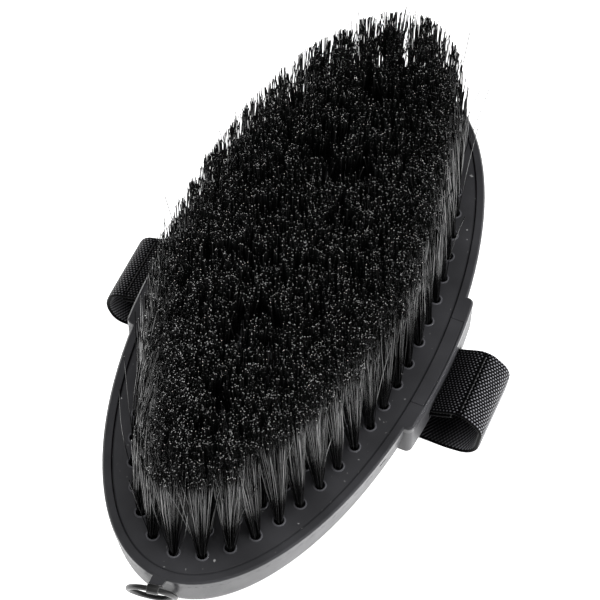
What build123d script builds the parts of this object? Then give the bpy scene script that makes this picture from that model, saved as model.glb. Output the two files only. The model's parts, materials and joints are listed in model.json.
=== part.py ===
from build123d import *
from math import asin, atan2, cos, degrees, hypot, pi, radians, sin, tan
import os

# Oval palm brush with a webbing hand strap and a hanging loop, lying on its back.
# Millimetres. +X runs along the body, away from the hanging loop. +Y is the left side.
# +Z is up, the way the bristles point. The origin is on the surface that the brush lies on,
# under the middle of the body.

# Driving dimensions of the body
body_length = 206.0
body_width = 96.0
rim_top = 28.0
rim_width = 2.9
rim_height = 2.6
rim_bevel = 0.6
skirt_depth = 2.2
skirt_clearance = 0.1
wall_thickness = 2.2
wall_draft = 8.0  # degrees that the wall leans in, going down
wall_skin = 1.8  # the drafted wall's thickness, measured level
wall_foot = 16.0  # the drafted wall ends here and the back starts to curve in
back_height = 2.0
back_inset = 26.0
rib_thickness = 1.6
rib_spacing = 80.0
notch_angle = 248.0
notch_width = 3.2
notch_height = 1.2

# Bristle plate
plate_recess = 0.4
plate_gap = 0.35
plate_thickness = 7.4
plate_bevel = 0.4
ledge_width = 3.2
ledge_height = 2.0
snap_angles = [28.0, 62.0, 118.0, 152.0]
snap_width = 6.0
snap_thickness = 1.4
snap_nose = 0.8
snap_clearance = 0.2

# Tufts, in rows that follow the outline, each folded over a flat wire at the foot of its hole
bristle_height = 42.5
row_count = 6
edge_inset = 9.5
tuft_pitch = 8.7
inner_pitch = 9.4
axis_gap = 6.0
tuft_clearance = 7.6
hole_radius = 1.6
hole_depth = 6.0
hole_bevel = 0.3
tuft_root_radius = 1.5
tuft_tip_radius = 3.5
anchor_length = 2.9
anchor_width = 0.35
anchor_height = 1.8
anchor_rise = 0.6
anchor_play = 0.05

# Ears, the bosses that the strap comes out of, and the caps that close their pockets
ear_length = 53.0
ear_reach = 2.3
ear_foot = 14.4
ear_corner = 2.0
cap_length = 33.6
cap_reach = 1.4
cap_height = 6.0
cap_gap = 0.15

# Hand strap and its pins
strap_width = 25.0
strap_thickness = 1.8
band_length = 100.0
slot_length = 26.6
slot_bottom = 15.6
slot_top = 20.4
pin_radius = 1.5
pin_length = 31.0
pin_offset = 38.6
pin_height = 16.1
pin_play = 0.25
cradle_play = 0.05
cradle_thickness = 1.6
cradle_offset = 14.0
cradle_top = 17.4
pocket_length = 36.0
pocket_depth = 9.0

# Hanging loop: a ring on a neck, turned down and leaning in under the body
loop_radius = 7.1  # to the middle of the ring's round section
loop_section = 0.95
loop_pivot = Vector(-106.9, 0.4, 27.1)
loop_lean = 74.0
loop_twist = 12.0
loop_skew = 10.0
knuckle_radius = 1.5
knuckle_length = 3.8
knuckle_play = 0.06
neck_width = 4.4
neck_thickness = 1.4

half_length = body_length / 2
half_width = body_width / 2
rim_bottom = rim_top - rim_height
skirt_seat = rim_bottom - (wall_thickness - wall_skin) / tan(radians(wall_draft))
plate_top = rim_top - plate_recess
plate_bottom = plate_top - plate_thickness
plate_inset = rim_width + plate_gap
hole_bottom = plate_top - hole_depth
row_spacing = (half_width - edge_inset) / (row_count - 1)
eye_radius = pin_radius + pin_play + strap_thickness / 2
band_middle = strap_thickness / 2


def oval(inset, mode=Mode.ADD):
    """The body's outline, drawn in by an inset, in the open sketch."""
    return Ellipse(half_length - inset, half_width - inset, mode=mode)


def draft_inset(height):
    """How far the wall's outer face has leaned in at a height."""
    return (rim_bottom - height) * tan(radians(wall_draft))


def bowl_sections(drop, wall_inset):
    """Heights and insets along the ellipse that joins the foot of the wall to the back."""
    span = back_inset - wall_inset
    lead = drop / span * tan(radians(wall_draft))
    start = asin(lead / (1 - lead))
    steps = 6
    sections = []
    for step in range(steps + 1):
        angle = start + (pi / 2 - start) * step / steps
        inset = wall_inset + span * (1 - cos(angle) / cos(start))
        fall = drop * (sin(angle) - sin(start)) / (1 - sin(start))
        sections.append((wall_foot - fall, inset))
    return sections


def outline_place(angle, inset):
    """A point inset square to the outline, and the outward direction there in radians."""
    across = half_width * cos(angle)
    along = half_length * sin(angle)
    size = hypot(across, along)
    x = half_length * cos(angle) - inset * across / size
    y = half_width * sin(angle) - inset * along / size
    return x, y, atan2(along, across)


def row_path(inset):
    """Fine points of one row's +Y half, from the loop's end to the far end."""
    steps = 1200
    places = [outline_place(pi - pi * step / steps, inset) for step in range(steps + 1)]
    return [(x, y) for x, y, outward in places if y > -1e-6]


def evenly_along(path, pitch):
    """Points evenly spaced along a path, near the pitch, with one at each end."""
    lengths = [0.0]
    for (x0, y0), (x1, y1) in zip(path, path[1:]):
        lengths.append(lengths[-1] + hypot(x1 - x0, y1 - y0))
    count = round(lengths[-1] / pitch)
    places = []
    for index in range(count + 1):
        wanted = lengths[-1] * index / count
        nearest = min(range(len(path)), key=lambda i: abs(lengths[i] - wanted))
        places.append(path[nearest])
    return places


def tuft_rows():
    """The tufts' places, one list for each row from the outside in, alike on both sides."""
    outer = evenly_along(row_path(edge_inset), tuft_pitch)
    rows = [outer + [(x, -y) for x, y in outer[1:-1]]]
    for number in range(1, row_count - 1):
        path = [(x, y) for x, y in row_path(edge_inset + number * row_spacing) if y > axis_gap]
        half = evenly_along(path, inner_pitch)
        rows.append(half + [(x, -y) for x, y in half])
    middle_row = []
    for x, y in row_path(edge_inset):
        others = [place for row in rows for place in row] + middle_row
        pair = [(x, 0.0), (-x, 0.0)]
        if x < -tuft_clearance / 2 and all(
            hypot(x - x2, y2) >= tuft_clearance for x2, y2 in others
        ):
            middle_row += pair
    rows.append(middle_row)
    return rows


rows = tuft_rows()
tuft_places = [place for row in rows for place in row]

# Plans shared by several pieces

with BuildSketch() as ear_plan:
    oval(-ear_reach)
    Rectangle(ear_length, 2 * body_width, mode=Mode.INTERSECT)
    fillet(ear_plan.vertices(), ear_corner)


def cap_plan(gap):
    """The stretch of rim over the right strap pin, larger all round by a gap, in the open sketch."""
    oval(-cap_reach - gap)
    oval(rim_width + gap, mode=Mode.SUBTRACT)
    with Locations((0, -half_width)):
        Rectangle(cap_length + 2 * gap, half_width, mode=Mode.INTERSECT)


# Back shell: a domed bowl with a drafted wall, an ear on each side, and ribs, a ledge for the
# plate and cradles for the strap pins inside

with BuildPart() as bowl:
    for height, inset in bowl_sections(wall_foot - back_height, draft_inset(wall_foot)):
        with BuildSketch(Plane.XY.offset(height)):
            oval(inset)
    loft()
    for height in (wall_foot, rim_bottom):
        with BuildSketch(Plane.XY.offset(height)):
            oval(draft_inset(height))
    loft()

with BuildPart() as cavity:
    for height, inset in bowl_sections(
        wall_foot - back_height - wall_thickness, draft_inset(wall_foot) + wall_skin
    ):
        with BuildSketch(Plane.XY.offset(height)):
            oval(inset)
    loft()
    for height in (wall_foot, skirt_seat):
        with BuildSketch(Plane.XY.offset(height)):
            oval(draft_inset(height) + wall_skin)
    loft()
    with BuildSketch(Plane.XY.offset(skirt_seat)):
        oval(wall_thickness)
    extrude(amount=rim_bottom - skirt_seat)

with BuildPart() as supports:
    with BuildSketch(Plane.XY.offset(back_height)):
        with GridLocations(rib_spacing, 0, 2, 1):
            Rectangle(rib_thickness, body_width)
        Rectangle(body_length, rib_thickness)
    extrude(amount=plate_bottom - back_height)
    with BuildSketch(Plane.XY.offset(plate_bottom - ledge_height)):
        oval(0)
        oval(wall_thickness + ledge_width, mode=Mode.SUBTRACT)
    extrude(amount=ledge_height)
    with Locations((0, half_width, plate_bottom), (0, -half_width, plate_bottom)):
        Box(pocket_length, 2 * pocket_depth, 2 * ledge_height, mode=Mode.SUBTRACT)
    with BuildSketch(Plane.XY.offset(back_height)):
        with GridLocations(2 * cradle_offset, 2 * pin_offset, 2, 2):
            Rectangle(cradle_thickness, pocket_depth)
    extrude(amount=cradle_top - back_height)
    with BuildSketch(Plane.YZ.offset(-pin_length)):
        for side in (-1, 1):
            with Locations((side * pin_offset, pin_height)):
                Circle(pin_radius + cradle_play)
                Rectangle(2 * pin_radius, pocket_depth, align=(Align.CENTER, Align.MIN))
    extrude(amount=2 * pin_length, mode=Mode.SUBTRACT)
    add(bowl.part, mode=Mode.INTERSECT)

with BuildPart() as back_shell:
    add(bowl.part)
    with BuildSketch(Plane.XY.offset(ear_foot)):
        add(ear_plan.sketch_local)
    extrude(amount=rim_bottom - ear_foot)
    add(cavity.part, mode=Mode.SUBTRACT)
    add(supports.part)
    for side in (-1, 1):
        with Locations((0, side * half_width, (slot_bottom + slot_top) / 2)):
            Box(slot_length, 2 * (ear_reach + wall_thickness), slot_top - slot_bottom, mode=Mode.SUBTRACT)
    with BuildSketch(Plane.XY.offset(rim_top)) as pocket_plan:
        cap_plan(cap_gap)
        mirror(about=Plane.XZ)
    extrude(amount=-cap_height - cap_gap, mode=Mode.SUBTRACT)
    for side in (-1, 1):
        x, y, outward = outline_place(side * radians(notch_angle), 0)
        with Locations(Location((x, y, rim_bottom), (0, 0, degrees(outward)))):
            Box(wall_thickness, notch_width, 2 * notch_height, mode=Mode.SUBTRACT)
back_shell.part.label = "back_shell"


# Rim: the edge band that sits on the wall and round the plate, with a skirt that locates it
# inside the wall, a pocket over each strap pin, and the neck that carries the hanging loop

loop_across = Vector(sin(radians(loop_twist)), -cos(radians(loop_twist)), 0)
loop_inward = Vector(cos(radians(loop_twist)), sin(radians(loop_twist)), 0)
loop_down = loop_inward * cos(radians(loop_lean)) - Vector(0, 0, 1) * sin(radians(loop_lean))
loop_centre = loop_pivot + (
    loop_down * cos(radians(loop_skew)) - loop_across * sin(radians(loop_skew))
) * loop_radius
loop_plane = Plane(loop_centre, x_dir=loop_across, z_dir=loop_down.cross(loop_across))
pivot_plane = Plane(loop_pivot, x_dir=Vector(0, 0, 1), z_dir=loop_across)

with BuildPart() as rim_bumper:
    with BuildSketch(Plane.XY.offset(rim_bottom)):
        oval(0)
        add(ear_plan.sketch_local)
    extrude(amount=rim_height)
    chamfer(rim_bumper.faces().sort_by(Axis.Z)[-1].outer_wire().edges(), rim_bevel)
    with BuildSketch(Plane.XY.offset(rim_bottom)):
        oval(wall_thickness + skirt_clearance)
    extrude(amount=-skirt_depth)
    with BuildSketch(Plane.XY.offset(rim_top)):
        oval(rim_width)
    extrude(amount=-rim_height - skirt_depth, mode=Mode.SUBTRACT)
    with BuildSketch(Plane.XY.offset(rim_top)):
        cap_plan(cap_gap)
        mirror(about=Plane.XZ)
    extrude(amount=-rim_height - skirt_depth, mode=Mode.SUBTRACT)
    with BuildSketch(Plane.XY.offset(loop_pivot.Z - neck_thickness / 2)):
        with BuildLine():
            Polyline(
                (rim_width / 2 - half_length, neck_width / 2),
                (rim_width / 2 - half_length, -neck_width / 2),
                (loop_pivot.X, loop_pivot.Y - knuckle_length / 2),
                (loop_pivot.X, loop_pivot.Y + knuckle_length / 2),
                close=True,
            )
        make_face()
    extrude(amount=neck_thickness)
    with BuildSketch(pivot_plane.offset(-neck_width)):
        Circle(knuckle_radius + knuckle_play)
    extrude(amount=2 * neck_width, mode=Mode.SUBTRACT)
rim_bumper.part.label = "rim_bumper"

with BuildPart() as hanging_loop:
    with Locations(loop_plane):
        Torus(loop_radius, loop_section)
    with BuildSketch(pivot_plane.offset(-knuckle_length / 2)):
        Circle(knuckle_radius)
    extrude(amount=knuckle_length)
hanging_loop.part.label = "hanging_loop"

# Bristle plate: an oval slab with a blind hole for each tuft and snap hooks under the ledge

with BuildPart() as bristle_plate:
    with BuildSketch(Plane.XY.offset(plate_bottom)):
        oval(plate_inset)
    extrude(amount=plate_thickness)
    chamfer(bristle_plate.faces().sort_by(Axis.Z)[-1].edges(), plate_bevel)
    with BuildSketch(Plane.XY.offset(plate_top)):
        with Locations(*tuft_places):
            Circle(hole_radius)
    extrude(amount=-hole_depth, mode=Mode.SUBTRACT)
    mouths = bristle_plate.edges().filter_by(GeomType.CIRCLE).group_by(Axis.Z)[-1]
    chamfer(mouths, hole_bevel)
    hook_inset = wall_thickness + ledge_width + snap_clearance + snap_thickness / 2
    nose_height = plate_bottom - ledge_height - snap_clearance
    for side in (-1, 1):
        for angle in snap_angles:
            x, y, outward = outline_place(side * radians(angle), hook_inset)
            turn = (0, 0, degrees(outward))
            reach = snap_thickness / 2 + snap_nose
            with Locations(Location((x, y, plate_bottom), turn)):
                Box(
                    snap_thickness,
                    snap_width,
                    ledge_height + snap_clearance + snap_nose,
                    align=(Align.CENTER, Align.CENTER, Align.MAX),
                )
            with Locations(Location((x, y, nose_height), turn)):
                Box(reach, snap_width, snap_nose, align=(Align.MIN, Align.CENTER, Align.MAX))
bristle_plate.part.label = "bristle_plate"

# Tufts and their anchor wires, a node of each for every row

with BuildPart() as tuft:
    with BuildSketch(Plane.XZ):
        with BuildLine():
            Polyline(
                (0, hole_bottom),
                (tuft_root_radius, hole_bottom),
                (tuft_root_radius, plate_top),
                (tuft_tip_radius, rim_top + bristle_height),
                (0, rim_top + bristle_height),
                close=True,
            )
        make_face()
    revolve(axis=Axis.Z)
    with Locations((0, 0, hole_bottom + anchor_rise)):
        Box(
            2 * hole_radius,
            anchor_width + 2 * anchor_play,
            anchor_height + anchor_play,
            align=(Align.CENTER, Align.CENTER, Align.MIN),
            mode=Mode.SUBTRACT,
        )

with BuildPart() as anchor:
    with Locations((0, 0, hole_bottom + anchor_rise)):
        Box(
            anchor_length,
            anchor_width,
            anchor_height,
            align=(Align.CENTER, Align.CENTER, Align.MIN),
        )

tuft_nodes = []
for number, row in enumerate(rows, start=1):
    for name, single in (("tufts", tuft), ("anchors", anchor)):
        with BuildPart() as group:
            with Locations(*row):
                add(single.part)
        group.part.label = f"{name}_row_{number}"
        tuft_nodes.append(group.part)

# Strap caps and pins

with BuildPart() as strap_cap_right:
    with BuildSketch(Plane.XY.offset(rim_top)):
        cap_plan(0)
    extrude(amount=-cap_height)
strap_cap_right.part.label = "strap_cap_right"

with BuildPart() as strap_pin_right:
    with BuildSketch(Plane.YZ.offset(-pin_length / 2)):
        with Locations((-pin_offset, pin_height)):
            Circle(pin_radius)
    extrude(amount=pin_length)
    chamfer(strap_pin_right.edges(), pin_radius / 5)
strap_pin_right.part.label = "strap_pin_right"

# Hand strap: a sewn eye round each pin, a doubled stretch out through the ear, then a slack
# fold that comes round under the brush to the band across the back. The right fold stands up
# and bulges out, and the left one hangs closer.

eye_top = pin_height + eye_radius
eye_bottom = pin_height - eye_radius
tail_height = eye_top - strap_thickness
band_end = band_length / 2
eye_foot = [(pin_offset, eye_bottom), (40.4, eye_bottom), (44.0, tail_height)]

right_fold = [
    (pin_offset, eye_top),
    (50.0, eye_top),
    (59.5, 23.7),
    (67.0, 17.6),
    (65.7, 2.5),
    (56.0, band_middle),
    (band_end, band_middle),
]
right_fold_bends = [8, 6, 6, 7, 20]
right_tail = eye_foot + [(50.5, tail_height), (56.6, 20.1)]

left_fold = [
    (pin_offset, eye_top),
    (52.0, eye_top),
    (61.5, 15.2),
    (63.9, 7.5),
    (61.0, band_middle),
    (band_end, band_middle),
]
left_fold_bends = [12, 6, 8, 4.5]
left_tail = eye_foot + [(51.7, tail_height), (57.3, 14.85)]
tail_bends = [3, 3, 6]


def strap_side(fold, fold_bends, tail):
    """One side of the strap, drawn on the +Y side: the fold, the sewn tail and the eye."""
    with BuildPart() as side:
        with BuildSketch(Plane.YZ.offset(-strap_width / 2)):
            with BuildLine() as outer_layer:
                FilletPolyline(*fold, radius=fold_bends)
            trace(outer_layer.line, strap_thickness)
            with BuildLine() as return_layer:
                FilletPolyline(*tail, radius=tail_bends)
            trace(return_layer.line, strap_thickness)
            with Locations((pin_offset, pin_height)):
                Circle(eye_radius + strap_thickness / 2)
                Circle(eye_radius - strap_thickness / 2, mode=Mode.SUBTRACT)
        extrude(amount=strap_width)
    return side.part


with BuildPart() as strap_side_left:
    add(strap_side(left_fold, left_fold_bends, left_tail))
strap_side_left.part.label = "strap_side_left"

with BuildPart() as strap_side_right:
    add(strap_side(right_fold, right_fold_bends, right_tail).mirror(Plane.XZ))
strap_side_right.part.label = "strap_side_right"

with BuildPart() as strap_palm_band:
    Box(
        strap_width,
        band_length,
        strap_thickness,
        align=(Align.CENTER, Align.CENTER, Align.MIN),
    )
strap_palm_band.part.label = "strap_palm_band"

# The other side of each piece that comes in a left and a right

with BuildPart() as strap_cap_left:
    add(strap_cap_right.part.mirror(Plane.XZ))
strap_cap_left.part.label = "strap_cap_left"

with BuildPart() as strap_pin_left:
    add(strap_pin_right.part.mirror(Plane.XZ))
strap_pin_left.part.label = "strap_pin_left"

os.makedirs("parts", exist_ok=True)
pieces = [
    back_shell.part,
    rim_bumper.part,
    bristle_plate.part,
    strap_cap_right.part,
    strap_cap_left.part,
    strap_pin_right.part,
    strap_pin_left.part,
    strap_side_right.part,
    strap_side_left.part,
    strap_palm_band.part,
    hanging_loop.part,
]
for piece in pieces + tuft_nodes:
    export_step(piece, f"parts/{piece.label}.step")
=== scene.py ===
import json
import math
import random

import bpy
from mathutils import Matrix, Vector


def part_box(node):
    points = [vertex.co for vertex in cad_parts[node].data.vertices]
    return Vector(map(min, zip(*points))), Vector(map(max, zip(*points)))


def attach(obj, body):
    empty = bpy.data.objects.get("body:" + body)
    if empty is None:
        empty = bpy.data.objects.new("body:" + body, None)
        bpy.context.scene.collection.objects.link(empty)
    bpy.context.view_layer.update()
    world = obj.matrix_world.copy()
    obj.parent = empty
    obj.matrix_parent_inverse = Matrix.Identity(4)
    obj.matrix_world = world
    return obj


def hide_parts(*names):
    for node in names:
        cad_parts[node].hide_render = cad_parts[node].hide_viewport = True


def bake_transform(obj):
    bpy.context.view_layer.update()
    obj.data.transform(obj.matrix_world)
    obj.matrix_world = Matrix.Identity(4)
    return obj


# Oval palm brush with a webbing hand strap, lying on its back on a white table.
# Metres, in the frame of the CAD model.

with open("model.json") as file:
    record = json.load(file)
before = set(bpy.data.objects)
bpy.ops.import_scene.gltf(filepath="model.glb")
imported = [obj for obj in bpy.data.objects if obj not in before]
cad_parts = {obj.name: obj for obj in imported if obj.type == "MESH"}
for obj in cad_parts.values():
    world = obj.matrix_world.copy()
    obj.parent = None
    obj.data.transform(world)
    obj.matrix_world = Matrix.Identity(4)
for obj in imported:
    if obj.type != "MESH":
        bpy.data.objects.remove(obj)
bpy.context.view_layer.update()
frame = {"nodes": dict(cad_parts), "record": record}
nodes = frame["nodes"]
MM = 0.001

# Bristles
TUFT_ROWS = range(1, 7)
FIRST_SEED = 700
FOOT_TOLERANCE = 0.1 * MM
TUFT_REACH = 3.2 * MM  # wider than a tuft's foot, and less than the pitch of the tufts
FILAMENT_RADIUS = 0.16 * MM
FILAMENTS_PER_TUFT = 90
FILAMENT_SIDES = 3
FILAMENT_STEPS = 5
HOLE_FILL_RADIUS = 1.35 * MM
HOLE_ORDER = 0.8  # how far a filament's place in its hole follows the way that it leans
ROOT_DEPTH = 1.0 * MM  # filaments start this far down the hole
SPREAD_NEAR_LOOP = 5.2 * MM
SPREAD_FAR = 4.6 * MM
SPREAD_SCATTER = 0.3 * MM
SPREAD_WIND = 4.0 * MM  # more on the side that leans most
WIND_HEADING = 142
WIND_WIDTH = 28  # degrees over which it fades to either side
TIP_DROP = 0.3 * MM
TIP_ROUGHNESS = 0.3 * MM
TIP_INSET = 5.8 * MM
EDGE_ROUGHNESS = 0.5 * MM
BOW = 0.5 * MM
LEAN_SCATTER = 0.5 * MM
END_TAPER = 0.12
OUTER_ROW = 0.92  # its place, as a share of the way from the middle to the plate's edge
CLUMPS_PER_TUFT = 13
CLUMP_SPREAD = 0.75 * MM
LOOSE_SHARE = 0.5
# How far the outer row's tips lean in, in mm, at headings round the brush in degrees
OUTER_LEANS = [
    (0, 0.8), (30, 2.0), (60, 2.0), (86, 1.2), (110, 4.5), (128, 12.0), (149, 12.0), (161, 7.5),
    (170, 3.5), (182, 2.0), (195, 3.2), (205, 5.5), (220, 6.5), (232, 5.0), (243, 5.8), (259, 3.2),
    (271, 6.0), (292, 7.5), (304, 9.0), (314, 4.5), (330, 3.0), (346, 1.0), (360, 0.8),
]
STRAY_SHARE = 0.018
STRAY_REACH = (3, 9)  # mm

# Strap. Routes are in (distance from the middle plane, height) in mm, and bends in mm.
STRAP_WIDTH = 25.0 * MM
STRAP_RIBS = 28
PICK_LENGTH = 1.2 * MM
PICK_STEPS = 4  # rings of points in one pick of the weave
WEAVE_CORE = 0.6 * MM
WEAVE_DEPTH = 0.28 * MM
RIB_CROWN = 0.9
SUNK_RIB = 0.55  # a rib's height where it goes under, as a share of its height where it floats over
SUNK_SHADE = 0.35  # and its colour there, painted darker as a painted shade where the rib goes under
SEAM_DEPTH = 0.32 * MM
CREASE_OFFSET = 0.5 * MM  # the seam's two creases lie this far to each side of its stitches
CREASE_WIDTH = 0.22 * MM
# Painted shade: the webbing's colour is painted darker in the creases by this share.
CREASE_SHADE = 0.6
SELVEDGE_START = 0.93  # share of the half width where the webbing starts to thin
SELVEDGE_THINNING = 0.3
SELVEDGE_BULGE = 0.25 * MM
STITCH_PITCH = 2.1 * MM
STITCH_GAP = 0.45 * MM
STITCH_RADIUS = 0.17 * MM
STITCH_RISE = 0.34 * MM
STITCH_SINK = 0.12 * MM
STITCH_SEAT = 0.4  # share of the ribs' height that the stitches lie at
STITCH_MARGIN = 1.0 * MM
STITCH_TWIST = 1.4  # radians
FOLD_LIGHT_START, FOLD_LIGHT_END = 54.0 * MM, 62.0 * MM  # painted light: the webbing is painted paler at the fold, where light falls, and darker by the ear, where shade falls
PAINTED_LIGHT_BASE, PAINTED_LIGHT_GAIN = 0.9, 0.3
RIGHT_FOLD = [(50.0, 18.75), (59.5, 23.7), (67.0, 17.6), (65.7, 2.5), (56.0, 0.9)]
RIGHT_BENDS = [8, 6, 6, 7, 20]
RIGHT_TAIL = [(56.6, 20.1), (50.5, 16.95)]
LEFT_FOLD = [(52.0, 18.75), (61.5, 15.2), (63.9, 7.5), (61.0, 0.9)]
LEFT_BENDS = [12, 6, 8, 4.5]
LEFT_TAIL = [(57.3, 14.85), (51.7, 16.95)]
EYE_FOOT = [(44.0, 16.95), (40.4, 13.45)]
TAIL_BENDS = [6, 3, 3]
RIGHT_SEAM = 59.2 * MM
LEFT_SEAM = 56.6 * MM

# Hanging loop
LOOP_SOLID_SECTION = 0.95 * MM  # the CAD ring's, which the visible one lies inside
LOOP_SECTION = 0.86 * MM
PARTING_LINE = 0.05 * MM
KNUCKLE_RADIUS = 1.45 * MM
KNUCKLE_LENGTH = 3.7 * MM

# Lips round the tufts' holes, in (radius, height over the plate) in mm
LIP_PROFILE = [(1.56, 0.0), (1.6, 0.2), (1.8, 0.32), (2.0, 0.2), (2.15, -0.02)]

# Table and lights
TABLE_GLOW = 1.1
FLOOR_HALF_SIZE = 4.0
OVERHEAD_PLACE = (-0.12, -0.1, 0.95)

# Plastic
COOL_TINT = (0.97, 0.97, 1.06)
DUST_GREY = (0.3, 0.3, 0.3, 1)

# Camera
CAMERA_AZIMUTH = -67.29
CAMERA_ELEVATION = 56.86
CAMERA_ROLL = 1.37
CAMERA_DISTANCE = 0.725
CAMERA_LENS = 136.9
CAMERA_AIM = Vector((3.2, 1.8, 28.0)) * MM


# Materials


def new_material(name):
    """A material with its node tree and its main shader."""
    material = bpy.data.materials.new(name)
    material.use_nodes = True
    tree = material.node_tree
    return material, tree, tree.nodes["Principled BSDF"]


def add_node(tree, kind, **values):
    """A node with its inputs, or failing that its own settings, set from values."""
    node = tree.nodes.new(kind)
    for name, value in values.items():
        if name in node.inputs:
            node.inputs[name].default_value = value
        else:
            setattr(node, name, value)
    return node


def noise(tree, scale, detail=4.0, stretch=(1, 1, 1)):
    """A noise texture on the object's own coordinates, in features per metre."""
    place = add_node(tree, "ShaderNodeTexCoord")
    mapping = add_node(tree, "ShaderNodeMapping", Scale=stretch)
    texture = add_node(tree, "ShaderNodeTexNoise", Scale=scale, Detail=detail)
    tree.links.new(place.outputs["Object"], mapping.inputs["Vector"])
    tree.links.new(mapping.outputs["Vector"], texture.inputs["Vector"])
    return texture.outputs["Fac"]


def ramp(tree, source, stops):
    """A colour ramp on a value. stops are (place, grey or colour) pairs."""
    node = add_node(tree, "ShaderNodeValToRGB")
    elements = node.color_ramp.elements
    while len(elements) < len(stops):
        elements.new(0.5)
    for element, (place, colour) in zip(elements, stops):
        element.position = place
        if not hasattr(colour, "__len__"):
            colour = (colour, colour, colour)
        element.color = (*colour, 1)
    tree.links.new(source, node.inputs["Fac"])
    return node.outputs["Color"]


def remap(tree, source, low, high):
    """A value from 0 to 1 turned into one from low to high."""
    node = add_node(tree, "ShaderNodeMapRange")
    node.inputs["To Min"].default_value = low
    node.inputs["To Max"].default_value = high
    tree.links.new(source, node.inputs["Value"])
    return node.outputs["Result"]


def bump(tree, source, distance, strength=1.0, normal=None):
    """A normal that follows a height."""
    node = add_node(tree, "ShaderNodeBump", Distance=distance, Strength=strength)
    tree.links.new(source, node.inputs["Height"])
    if normal is not None:
        tree.links.new(normal, node.inputs["Normal"])
    return node.outputs["Normal"]


def moulded_plastic(
    name, dark, light, rough, grain, dust=0.9, edge_radius=0.3 * MM, specular=0.5
):
    """Black moulded plastic: fine spark-eroded grain, faint clouding, dust specks and soft edges."""
    material, tree, shader = new_material(name)
    clouds = noise(tree, 60, 3)
    dark_tint = [dark * part for part in COOL_TINT]
    light_tint = [light * part for part in COOL_TINT]
    tint = ramp(tree, clouds, [(0.3, dark_tint), (0.7, light_tint)])
    specks = ramp(tree, noise(tree, 620, 3), [(dust - 0.05, 0.0), (dust, 1.0)])
    dusted = add_node(tree, "ShaderNodeMix", data_type="RGBA")
    tree.links.new(specks, dusted.inputs["Factor"])
    tree.links.new(tint, dusted.inputs[6])
    dusted.inputs[7].default_value = DUST_GREY
    tree.links.new(dusted.outputs[2], shader.inputs["Base Color"])
    smears = noise(tree, 180, 5)
    tree.links.new(remap(tree, smears, rough - 0.06, rough + 0.08), shader.inputs["Roughness"])
    soft_edges = add_node(tree, "ShaderNodeBevel", Radius=edge_radius)
    soft_edges.samples = 4
    fine = noise(tree, 4200, 2)
    normal = bump(tree, fine, grain, 0.6, soft_edges.outputs["Normal"])
    tree.links.new(normal, shader.inputs["Normal"])
    shader.inputs["Specular IOR Level"].default_value = specular
    return material


def drawn_steel():
    """Bright drawn wire, scratched along X, the way that the strap's pins lie."""
    material, tree, shader = new_material("drawn_steel")
    scratches = noise(tree, 900, 3, (0.1, 1, 1))
    tree.links.new(ramp(tree, scratches, [(0.3, 0.42), (0.7, 0.6)]), shader.inputs["Base Color"])
    tree.links.new(remap(tree, scratches, 0.25, 0.42), shader.inputs["Roughness"])
    shader.inputs["Metallic"].default_value = 1
    return material


def filament_side():
    """Extruded black nylon: a shade of its own on every filament, painted darker on the far tufts as
    painted shade, glossy along its length.
    """
    material, tree, shader = new_material("nylon_filament")
    shade = add_node(tree, "ShaderNodeAttribute", attribute_name="shade")
    tint = ramp(tree, shade.outputs["Fac"], [(0.0, 0.001), (0.7, 0.003), (1.0, 0.014)])
    tree.links.new(tint, shader.inputs["Base Color"])
    streaks = noise(tree, 1400, 3, (1, 1, 0.08))
    tree.links.new(remap(tree, streaks, 0.13, 0.24), shader.inputs["Roughness"])
    gloss = ramp(tree, shade.outputs["Fac"], [(0.0, 0.03), (0.4, 0.3), (0.75, 1.0), (1.0, 1.0)])
    tree.links.new(gloss, shader.inputs["Specular IOR Level"])
    shader.inputs["IOR"].default_value = 1.66
    return material


def filament_tip():
    """The filament's cut end, rougher than its side, and painted pale as a painted highlight, up to
    near white on some ends.
    """
    material, tree, shader = new_material("nylon_cut_end_painted_highlight")
    shade = add_node(tree, "ShaderNodeAttribute", attribute_name="shade")
    # Painted highlight: the cut ends are painted far paler than the black sides.
    tint = ramp(tree, shade.outputs["Fac"], [(0.0, 0.005), (0.5, 0.05), (0.78, 0.4), (1.0, 0.95)])
    tree.links.new(tint, shader.inputs["Base Color"])
    tree.links.new(remap(tree, noise(tree, 3000, 2), 0.45, 0.7), shader.inputs["Roughness"])
    return material


def webbing_cloth():
    """Black nylon webbing: fine yarn twist on the woven ribs, a faint sheen, a painted highlight on the
    ribs' crowns and painted shade between them.
    """
    material, tree, shader = new_material("nylon_webbing")
    crown = add_node(tree, "ShaderNodeAttribute", attribute_name="crown")
    # Painted shade between the ribs and a painted highlight on their tops; the gloss follows the same
    # painted value.
    between_ribs = (0.0003, 0.0003, 0.0004)
    flank = (0.005, 0.005, 0.006)
    rib_top = (0.17, 0.17, 0.185)
    stops = [(0.35, between_ribs), (0.68, flank), (0.95, rib_top)]
    tint = ramp(tree, crown.outputs["Fac"], stops)
    tree.links.new(tint, shader.inputs["Base Color"])
    gloss = ramp(tree, crown.outputs["Fac"], [(0.4, 0.02), (0.9, 1.0)])
    tree.links.new(gloss, shader.inputs["Specular IOR Level"])
    yarn = noise(tree, 5200, 3)
    tree.links.new(remap(tree, yarn, 0.42, 0.62), shader.inputs["Roughness"])
    tree.links.new(bump(tree, yarn, 0.05 * MM, 0.7), shader.inputs["Normal"])
    shader.inputs["Sheen Weight"].default_value = 0.1
    shader.inputs["Sheen Roughness"].default_value = 0.4
    return material


def stitch_thread():
    """Black twisted sewing thread."""
    material, tree, shader = new_material("stitch_thread")
    twist = noise(tree, 2600, 3)
    tree.links.new(ramp(tree, twist, [(0.3, 0.01), (0.7, 0.04)]), shader.inputs["Base Color"])
    tree.links.new(bump(tree, twist, 0.05 * MM), shader.inputs["Normal"])
    shader.inputs["Roughness"].default_value = 0.55
    return material


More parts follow.
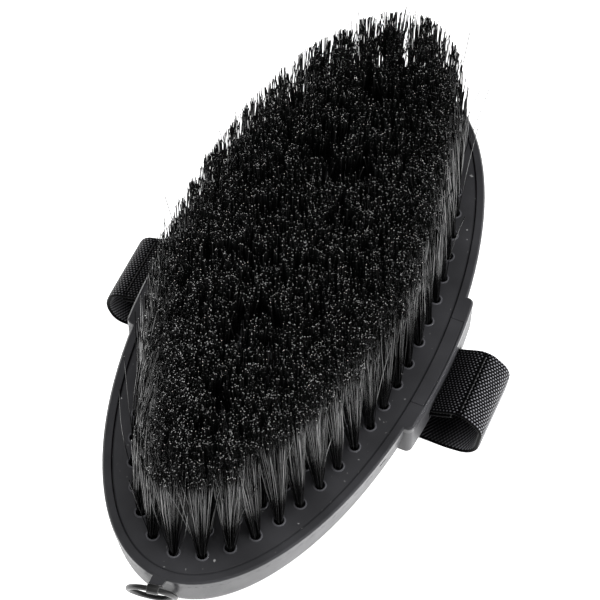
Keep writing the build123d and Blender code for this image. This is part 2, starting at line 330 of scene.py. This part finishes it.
def soft_rubber():
    """Black moulded rubber with a faint haze."""
    material, tree, shader = new_material("soft_rubber")
    haze = noise(tree, 320, 4)
    tree.links.new(ramp(tree, haze, [(0.3, 0.012), (0.7, 0.026)]), shader.inputs["Base Color"])
    tree.links.new(remap(tree, haze, 0.24, 0.4), shader.inputs["Roughness"])
    tree.links.new(bump(tree, noise(tree, 2200, 2), 0.02 * MM, 0.5), shader.inputs["Normal"])
    return material


def table_top():
    """White paper lit from below."""
    material, tree, shader = new_material("table_top")
    paper = noise(tree, 8, 2)
    tree.links.new(ramp(tree, paper, [(0.0, 0.9), (1.0, 0.93)]), shader.inputs["Base Color"])
    shader.inputs["Roughness"].default_value = 0.9
    shader.inputs["Emission Color"].default_value = (1, 1, 1, 1)
    shader.inputs["Emission Strength"].default_value = TABLE_GLOW
    return material


shell_plastic = moulded_plastic(
    "shell_plastic", dark=0.022, light=0.038, rough=0.42, grain=0.03 * MM, specular=0.42
)
plate_plastic = moulded_plastic(
    "plate_plastic", dark=0.022, light=0.038, rough=0.36, grain=0.02 * MM, dust=0.745
)
# Painted highlight: the lips are painted paler than the plate that they are moulded from.
lip_plastic_painted_highlight = moulded_plastic("lip_plastic_painted_highlight", dark=0.055, light=0.1, rough=0.22, grain=0.008 * MM)
rim_plastic = moulded_plastic(
    "rim_plastic", dark=0.022, light=0.038, rough=0.3, grain=0.016 * MM, dust=0.8, edge_radius=0.5 * MM
)
steel = drawn_steel()
nylon = filament_side()
nylon_end = filament_tip()
webbing = webbing_cloth()
thread = stitch_thread()
rubber = soft_rubber()


def dress(node, material):
    """Gives a CAD node its finish."""
    slots = nodes[node].data.materials
    slots.clear()
    slots.append(material)


dress("back_shell", shell_plastic)
dress("bristle_plate", plate_plastic)
for node in ("rim_bumper", "strap_cap_right", "strap_cap_left"):
    dress(node, rim_plastic)
for node in sorted(nodes):
    if node.startswith(("anchors_row", "strap_pin")):
        dress(node, steel)


# Meshes


def add_mesh(name, points, faces, materials, smooth=None, face_materials=None, **point_values):
    """A new mesh object, with a named float on each point where point_values gives one."""
    mesh = bpy.data.meshes.new(name)
    mesh.from_pydata(points, [], faces)
    for material in materials:
        mesh.materials.append(material)
    mesh.polygons.foreach_set("use_smooth", smooth or [True] * len(faces))
    if face_materials:
        mesh.polygons.foreach_set("material_index", face_materials)
    for key, values in point_values.items():
        mesh.attributes.new(key, "FLOAT", "POINT").data.foreach_set("value", values)
    obj = bpy.data.objects.new(name, mesh)
    bpy.context.scene.collection.objects.link(obj)
    return obj


def band_faces(low, sides):
    """Faces between two rings of points that follow each other, the first starting at low."""
    faces = []
    for side in range(sides):
        other = (side + 1) % sides
        faces.append((low + side, low + other, low + sides + other, low + sides + side))
    return faces


# Bristles: every filament of every tuft, from just inside its hole to its cut end

tip_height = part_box("tufts_row_1")[1].z
plate_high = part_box("bristle_plate")[1]
plate_top = plate_high.z
body_half_length = plate_high.x
body_half_width = plate_high.y


def tuft_roots(node):
    """The tufts' places in a row, from the round feet of its solids."""
    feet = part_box(node)[0].z
    clusters = []
    for vertex in nodes[node].data.vertices:
        if vertex.co.z - feet > FOOT_TOLERANCE:
            continue
        for cluster in clusters:
            if (cluster[0] - vertex.co).length < TUFT_REACH:
                cluster.append(vertex.co.copy())
                break
        else:
            clusters.append([vertex.co.copy()])
    roots = []
    for cluster in clusters:
        xs = [point.x for point in cluster]
        ys = [point.y for point in cluster]
        roots.append(Vector(((min(xs) + max(xs)) / 2, (min(ys) + max(ys)) / 2, feet)))
    return sorted(roots, key=lambda root: (root.x, root.y))


def place_on_plate(root):
    """A place's share of the way from the middle to the plate's edge, and its heading in degrees."""
    along = root.x / body_half_length
    across = root.y / body_half_width
    return math.hypot(along, across), math.degrees(math.atan2(across, along)) % 360


def tuft_lean(root):
    """How far a tuft's tip stands in from its root: most at the outline, none at the middle."""
    distance, heading = place_on_plate(root)
    for (low, lean_low), (high, lean_high) in zip(OUTER_LEANS, OUTER_LEANS[1:]):
        if low <= heading <= high:
            lean = lean_low + (lean_high - lean_low) * (heading - low) / (high - low)
    inward = Vector((-root.x / body_half_length**2, -root.y / body_half_width**2, 0)).normalized()
    return inward * lean * MM * (distance / OUTER_ROW) ** 3


def keep_inside(tip, ragged):
    """Draws a tip in to the outline that the trimmed tips keep to, give or take a ragged edge."""
    half_length = body_half_length - TIP_INSET + ragged
    half_width = body_half_width - TIP_INSET + ragged
    size = math.hypot(tip.x / half_length, tip.y / half_width)
    if size <= 1:
        return tip
    return Vector((tip.x / size, tip.y / size, tip.z))


def disc_point(rng):
    """A random place in a disc of radius 1."""
    angle = rng.uniform(0, 2 * math.pi)
    share = math.sqrt(rng.random())
    return Vector((math.cos(angle), math.sin(angle), 0)) * share


def filament_path(rng, root, spread, lean, clumps):
    """Points from just inside the hole to the tip, fanning out with a slight bow."""
    loose = rng.random() < LOOSE_SHARE
    heading = disc_point(rng) if loose else rng.choice(clumps)
    foot = (heading * HOLE_ORDER + disc_point(rng) * (1 - HOLE_ORDER)) * HOLE_FILL_RADIUS
    mouth = Vector((root.x + foot.x, root.y + foot.y, plate_top - ROOT_DEPTH))
    scatter = Vector((rng.gauss(0, 1), rng.gauss(0, 1), 0)) * CLUMP_SPREAD
    tip = root + heading * spread + lean + scatter
    if rng.random() < STRAY_SHARE:
        tip += heading.normalized() * rng.uniform(*STRAY_REACH) * MM
    else:
        tip = keep_inside(tip, rng.gauss(0, 1) * EDGE_ROUGHNESS)
    tip.z = tip_height - TIP_DROP + rng.gauss(0, TIP_ROUGHNESS)
    bow = Vector((rng.gauss(0, 1), rng.gauss(0, 1), 0)) * BOW
    points = [mouth]
    for step in range(1, FILAMENT_STEPS + 1):
        t = step / FILAMENT_STEPS
        points.append(mouth.lerp(tip, t) + bow * math.sin(math.pi * t))
    return points


def add_filament(path, turn, points, faces, smooth, face_materials):
    """A thin prism along the path, tapering a little to a flat cut end with its own finish."""
    first = len(points)
    sides = FILAMENT_SIDES
    for step, place in enumerate(path):
        radius = FILAMENT_RADIUS * (1 - END_TAPER * step / FILAMENT_STEPS)
        for corner in range(sides):
            angle = turn + 2 * math.pi * corner / sides
            points.append(
                (place.x + radius * math.cos(angle), place.y + radius * math.sin(angle), place.z)
            )
    for step in range(FILAMENT_STEPS):
        faces += band_faces(first + step * sides, sides)
        smooth += [True] * sides
        face_materials += [0] * sides
    last = first + FILAMENT_STEPS * sides
    faces.append(tuple(range(last, last + sides)))
    smooth.append(False)
    face_materials.append(1)


def bristle_row(number):
    """All the filaments of one row's tufts, as one mesh in place of the CAD row."""
    node = f"tufts_row_{number}"
    rng = random.Random(FIRST_SEED + number)
    points, faces, smooth, face_materials, shades = [], [], [], [], []
    for root in tuft_roots(node):
        far = 0.5 + 0.5 * root.x / body_half_length
        # Painted shade: the far tufts are painted darker, with fewer pale tips.
        far_painted_shade_power = 0.95 + 1.6 * far**3
        spread = SPREAD_NEAR_LOOP + (SPREAD_FAR - SPREAD_NEAR_LOOP) * far
        spread += rng.gauss(0, 1) * SPREAD_SCATTER
        distance, heading = place_on_plate(root)
        wind = math.exp(-(((heading - WIND_HEADING) / WIND_WIDTH) ** 2))
        spread += SPREAD_WIND * distance**4 * wind
        lean = tuft_lean(root) + Vector((rng.gauss(0, 1), rng.gauss(0, 1), 0)) * LEAN_SCATTER
        clumps = [disc_point(rng) for _ in range(CLUMPS_PER_TUFT)]
        for _ in range(FILAMENTS_PER_TUFT):
            path = filament_path(rng, root, spread, lean, clumps)
            before = len(points)
            add_filament(path, rng.uniform(0, 2), points, faces, smooth, face_materials)
            shades += [rng.random() ** far_painted_shade_power] * (len(points) - before)
    row = add_mesh(
        f"bristles_row_{number}", points, faces, [nylon, nylon_end], smooth, face_materials,
        shade=shades,
    )
    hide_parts(node)
    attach(row, "root")


for number in TUFT_ROWS:
    bristle_row(number)


# Hand strap: one length of webbing, sewn round a pin at each end

band_low, band_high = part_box("strap_palm_band")
pin_low, pin_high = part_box("strap_pin_left")
strap_thickness = band_high.z - band_low.z
pin_y = (pin_low.y + pin_high.y) / 2
pin_z = (pin_low.z + pin_high.z) / 2
tail_foot_height = EYE_FOOT[1][1] * MM
upper_run_height = pin_z - 1 * MM  # the fold's upper run is above this, and its lower run below


def bend_round(points, radii, step=0.4 * MM):
    """A path through straight runs whose corners are rounded to their radii."""
    path = [points[0].copy()]
    for before, corner, after, radius in zip(points, points[1:], points[2:], radii):
        into = (corner - before).normalized()
        out = (after - corner).normalized()
        turn = into.angle(out)
        reach = radius * math.tan(turn / 2)
        start = corner - into * reach
        centre = start + (out - into * into.dot(out)).normalized() * radius
        arm = start - centre
        steps = max(3, int(radius * turn / step))
        for index in range(steps + 1):
            angle = turn * index / steps
            path.append(centre + arm * math.cos(angle) + into * radius * math.sin(angle))
    path.append(points[-1].copy())
    return path


def even_path(path, pitch):
    """The same path with points at an even spacing near the pitch."""
    lengths = [0.0]
    for a, b in zip(path, path[1:]):
        lengths.append(lengths[-1] + (b - a).length)
    count = round(lengths[-1] / pitch)
    even = []
    index = 0
    for number in range(count + 1):
        wanted = lengths[-1] * number / count
        while index < len(lengths) - 2 and lengths[index + 1] < wanted:
            index += 1
        span = max(lengths[index + 1] - lengths[index], 1e-9)
        even.append(path[index].lerp(path[index + 1], (wanted - lengths[index]) / span))
    return even


def strap_side_route(sign, tail, fold, fold_bends):
    """Corners and bend radii from the sewn tail, back round the pin and out to the band."""
    eye_radius = pin_z - tail_foot_height
    near_y = pin_y - eye_radius
    eye = [(near_y, pin_z - eye_radius), (near_y, pin_z + eye_radius)]
    corners = [(y * MM, z * MM) for y, z in tail + EYE_FOOT] + eye
    corners += [(y * MM, z * MM) for y, z in fold]
    eye_bend = eye_radius * 0.999  # a hair less, so that the eye's two bends don't overlap
    bends = [bend * MM for bend in TAIL_BENDS] + [eye_bend] * 2
    bends += [bend * MM for bend in fold_bends]
    return [Vector((0, sign * y, z)) for y, z in corners], bends


def strap_route():
    """The whole strap's middle line, from the right tail to the left one."""
    right, right_bends = strap_side_route(-1, RIGHT_TAIL, RIGHT_FOLD, RIGHT_BENDS)
    left, left_bends = strap_side_route(1, LEFT_TAIL, LEFT_FOLD, LEFT_BENDS)
    return bend_round(right + left[::-1], right_bends + left_bends[::-1])


def seam_dip(place):
    """How deep the sewn crease presses the strap in at a place on its middle line."""
    seam = RIGHT_SEAM if place.y < 0 else LEFT_SEAM
    if place.z < upper_run_height:
        return 0.0
    away = abs(place.y) - seam
    creases = (-CREASE_OFFSET, CREASE_OFFSET)
    return sum(math.exp(-(((away - crease) / CREASE_WIDTH) ** 2)) for crease in creases)


def strap_section():
    """Points round the strap's section: across, side, share of rib height, rib number."""
    pitch = STRAP_WIDTH / STRAP_RIBS
    section = []
    for rib in range(STRAP_RIBS):
        left_edge = -STRAP_WIDTH / 2 + rib * pitch
        for share, height in ((0.0, 0.0), (0.33, RIB_CROWN), (0.67, RIB_CROWN)):
            section.append((left_edge + share * pitch, 1, height, rib))
    section.append((STRAP_WIDTH / 2, 1, 0.0, STRAP_RIBS))
    section.append((STRAP_WIDTH / 2 + SELVEDGE_BULGE, 0, 0.0, STRAP_RIBS))
    for rib in reversed(range(STRAP_RIBS)):
        right_edge = -STRAP_WIDTH / 2 + (rib + 1) * pitch
        section.append((right_edge - pitch / 2, -1, RIB_CROWN, rib))
    section.append((-STRAP_WIDTH / 2, -1, 0.0, 0))
    section.append((-STRAP_WIDTH / 2 - SELVEDGE_BULGE, 0, 0.0, 0))
    return section


def edge_share(across):
    """How far into the thinned selvedge a place across the strap is: 0 before it, 1 at the edge."""
    past = max(0.0, abs(across) / (STRAP_WIDTH / 2) - SELVEDGE_START)
    return past / (1 - SELVEDGE_START)


def strap_mesh():
    """The whole strap's woven mesh, and its length along the middle line."""
    path = even_path(strap_route(), PICK_LENGTH / PICK_STEPS)
    section = strap_section()
    count = len(section)
    points, faces, crowns = [], [], []
    rings = 0
    for index, place in enumerate(path):
        under_brush = abs(place.y) < band_high.y and place.z < strap_thickness
        if under_brush and index % 2:  # half the detail is enough there
            continue
        rings += 1
        before, after = path[max(index - 1, 0)], path[min(index + 1, len(path) - 1)]
        along = (after - before).normalized()
        outward = Vector((0, along.z, -along.y))
        dip = seam_dip(place)
        phase = 2 * math.pi * index / PICK_STEPS
        # Painted light: the webbing is painted paler towards the fold and darker by the ear.
        fold_light_share = min(max((abs(place.y) - FOLD_LIGHT_START) / (FOLD_LIGHT_END - FOLD_LIGHT_START), 0.0), 1.0)
        fold_painted_light = PAINTED_LIGHT_BASE + PAINTED_LIGHT_GAIN * fold_light_share
        # Painted shade in the sewn creases.
        crease_painted_shade = 1 - CREASE_SHADE * min(dip, 1)
        for across, side, height, rib in section:
            float_over = 0.5 + 0.5 * math.cos(phase + math.pi * (rib % 2))
            lift = height * (SUNK_RIB + (1 - SUNK_RIB) * float_over)
            selvedge = 1 - SELVEDGE_THINNING * edge_share(across)
            offset = side * (WEAVE_CORE + WEAVE_DEPTH * lift) * selvedge
            if side > 0:
                offset -= SEAM_DEPTH * dip
            points.append((across, place.y + outward.y * offset, place.z + outward.z * offset))
            shade = SUNK_SHADE + (1 - SUNK_SHADE) * float_over
            # Painted light: paler on the ribs' tops, with painted shade between them, where a rib goes
            # under and in the creases.
            crowns.append(fold_painted_light * height * shade * crease_painted_shade)
    for ring in range(rings - 1):
        faces += band_faces(ring * count, count)
    faces.append(tuple(range(count)))
    faces.append(tuple(reversed(range(len(points) - count, len(points)))))
    strap = add_mesh("hand_strap", points, faces, [webbing], crown=crowns)
    length = sum((b - a).length for a, b in zip(path, path[1:]))
    return strap, length


def add_seam(name, sign, seam):
    """A row of stitches across the strap, lying between the two creases they pull in."""
    route = [place for place in even_path(strap_route(), 0.2 * MM) if place.y * sign > 0]
    upper = [place for place in route if place.z > upper_run_height]
    index = min(range(1, len(upper) - 1), key=lambda i: abs(abs(upper[i].y) - seam))
    place = upper[index]
    along = upper[index + 1] - upper[index - 1]
    along.normalize()
    outward = Vector((0, along.z, -along.y))
    stitches = int((STRAP_WIDTH - 2 * STITCH_MARGIN) / STITCH_PITCH)
    points, faces = [], []
    for stitch in range(stitches):
        start = -stitches * STITCH_PITCH / 2 + stitch * STITCH_PITCH + STITCH_GAP / 2
        first = len(points)
        steps, sides = 6, 8
        for step in range(steps + 1):
            t = step / steps
            rise = math.sin(math.pi * t) ** 0.5 * STITCH_RISE - STITCH_SINK
            centre = place + outward * (WEAVE_CORE + WEAVE_DEPTH * STITCH_SEAT + rise)
            centre.x = start + (STITCH_PITCH - STITCH_GAP) * t
            for corner in range(sides):
                angle = 2 * math.pi * corner / sides + STITCH_TWIST * t
                spoke = outward * math.cos(angle) + along * math.sin(angle)
                points.append(tuple(centre + spoke * STITCH_RADIUS))
        for step in range(steps):
            faces += band_faces(first + step * sides, sides)
        faces.append(tuple(reversed(range(first, first + sides))))
        last = first + steps * sides
        faces.append(tuple(range(last, last + sides)))
    row = add_mesh(name, points, faces, [thread])
    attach(row, "root")
    return row


seams = [add_seam("strap_seam_right", -1, RIGHT_SEAM), add_seam("strap_seam_left", 1, LEFT_SEAM)]
hand_strap, strap_length = strap_mesh()
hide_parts("strap_side_right", "strap_side_left", "strap_palm_band")
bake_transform(hand_strap)


# Hanging loop: a moulded rubber ring with the barrel it swings on

swing = next(joint for joint in frame["record"]["behaviour"]["joints"] if joint["name"] == "loop_swing")
loop_pivot = Vector(swing["pos_m"])
loop_axis = Vector(swing["axis"]).normalized()


def ring_of(centre, first, second, radius, section, parting):
    """Points and faces of a ring whose round section carries a fine parting line."""
    rounds, sides = 96, 16
    points, faces = [], []
    normal = first.cross(second)
    for turn in range(rounds):
        angle = 2 * math.pi * turn / rounds
        spoke = first * math.cos(angle) + second * math.sin(angle)
        for side in range(sides):
            around = 2 * math.pi * side / sides
            ridge = parting if side in (0, sides // 2) else 0.0
            reach = section + ridge
            offset = spoke * (radius + reach * math.cos(around)) + normal * reach * math.sin(around)
            points.append(tuple(centre + offset))
    for turn in range(rounds):
        after = (turn + 1) % rounds
        for side in range(sides):
            other = (side + 1) % sides
            low, high = turn * sides, after * sides
            faces.append((low + side, high + side, high + other, low + other))
    return points, faces


def barrel_of(centre, axis, arm, radius, length):
    """Points and faces of a barrel with rounded ends."""
    profile = [(-1.0, 0.45), (-0.98, 0.8), (-0.9, 0.95), (-0.75, 1.0), (0.75, 1.0), (0.9, 0.95)]
    profile += [(0.98, 0.8), (1.0, 0.45)]
    sides = 32
    other_arm = axis.cross(arm)
    points, faces = [], []
    for place, share in profile:
        for side in range(sides):
            angle = 2 * math.pi * side / sides
            spoke = arm * math.cos(angle) + other_arm * math.sin(angle)
            points.append(tuple(centre + axis * place * length / 2 + spoke * radius * share))
    for ring in range(len(profile) - 1):
        faces += band_faces(ring * sides, sides)
    faces.append(tuple(reversed(range(sides))))
    faces.append(tuple(range(len(points) - sides, len(points))))
    return points, faces


def add_hanging_loop():
    """The ring and its barrel, where the CAD ring hangs."""
    corners = [vertex.co for vertex in nodes["hanging_loop"].data.vertices]
    reach = sum((corner - loop_pivot for corner in corners), Vector()) / len(corners)
    down = reach.normalized()
    far = max((corner - loop_pivot).dot(down) for corner in corners)
    radius = (far - LOOP_SOLID_SECTION) / 2
    normal = down.cross(loop_axis).normalized()
    side = normal.cross(down)
    centre = loop_pivot + down * radius
    points, faces = ring_of(centre, down, side, radius, LOOP_SECTION, PARTING_LINE)
    arm = loop_axis.cross(normal).normalized()
    more_points, more_faces = barrel_of(loop_pivot, loop_axis, arm, KNUCKLE_RADIUS, KNUCKLE_LENGTH)
    faces += [tuple(corner + len(points) for corner in face) for face in more_faces]
    points += more_points
    loop = add_mesh("hanging_ring", points, faces, [rubber])
    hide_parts("hanging_loop")
    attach(loop, "hanging_loop")


add_hanging_loop()


# Raised lips that the moulding leaves round the mouths of the tufts' holes


def add_hole_lips():
    """One low ring of plastic round every hole, all in one mesh."""
    sides = 20
    points, faces = [], []
    for number in TUFT_ROWS:
        for root in tuft_roots(f"tufts_row_{number}"):
            first = len(points)
            for radius, height in LIP_PROFILE:
                for side in range(sides):
                    angle = 2 * math.pi * side / sides
                    x = root.x + radius * MM * math.cos(angle)
                    y = root.y + radius * MM * math.sin(angle)
                    points.append((x, y, plate_top + height * MM))
            for ring in range(len(LIP_PROFILE) - 1):
                low = first + ring * sides
                for side in range(sides):
                    other = (side + 1) % sides
                    faces.append((low + side, low + sides + side, low + sides + other, low + other))
    lips = add_mesh("hole_lips", points, faces, [lip_plastic_painted_highlight])
    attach(lips, "root")


add_hole_lips()


# Floor, lights and camera


def add_floor():
    """The white table that the brush lies on."""
    half = FLOOR_HALF_SIZE
    corners = [(-half, -half, 0), (half, -half, 0), (half, half, 0), (-half, half, 0)]
    floor = add_mesh("floor", corners, [(0, 1, 2, 3)], [table_top()])


def add_light(name, place, aim, width, height, power, shines=True):
    """A soft rectangular lamp. shines says whether it shows in glossy surfaces."""
    data = bpy.data.lights.new(name, "AREA")
    data.shape = "RECTANGLE"
    data.size, data.size_y = width, height
    data.energy = power
    light = bpy.data.objects.new(name, data)
    light.location = place
    light.rotation_euler = (Vector(aim) - Vector(place)).to_track_quat("-Z", "Y").to_euler()
    light.visible_glossy = shines
    bpy.context.scene.collection.objects.link(light)


def add_world(strength):
    """An even white surround."""
    world = bpy.data.worlds.new("studio")
    bpy.context.scene.world = world
    world.use_nodes = True
    surround = world.node_tree.nodes["Background"]
    surround.inputs["Color"].default_value = (1, 1, 1, 1)
    surround.inputs["Strength"].default_value = strength


def add_camera():
    """The camera, on a line from its aim point at its azimuth and elevation, with a little roll."""
    azimuth, elevation = math.radians(CAMERA_AZIMUTH), math.radians(CAMERA_ELEVATION)
    back = Vector(
        (
            math.sin(azimuth) * math.cos(elevation),
            -math.cos(azimuth) * math.cos(elevation),
            math.sin(elevation),
        )
    )
    data = bpy.data.cameras.new("camera")
    data.lens = CAMERA_LENS
    data.sensor_width = 36
    data.clip_start, data.clip_end = 0.05, 20
    camera = bpy.data.objects.new("camera", data)
    upright = (-back).to_track_quat("-Z", "Y").to_matrix().to_4x4()
    roll = Matrix.Rotation(math.radians(CAMERA_ROLL), 4, "Z")
    camera.matrix_world = Matrix.Translation(CAMERA_AIM + back * CAMERA_DISTANCE) @ upright @ roll
    bpy.context.scene.collection.objects.link(camera)
    bpy.context.scene.camera = camera


add_floor()
add_world(strength=0.08)
add_light("overhead", OVERHEAD_PLACE, aim=(0, 0, 0), width=0.6, height=0.6, power=9, shines=False)
add_light("sheen", OVERHEAD_PLACE, aim=(0, 0, 0), width=0.6, height=0.6, power=3)
add_light(
    "side", (0.1, -0.8, 0.06), aim=(0, -0.05, 0.012), width=0.5, height=0.1, power=11, shines=False
)
add_camera()
bpy.context.scene.view_settings.view_transform = "Standard"
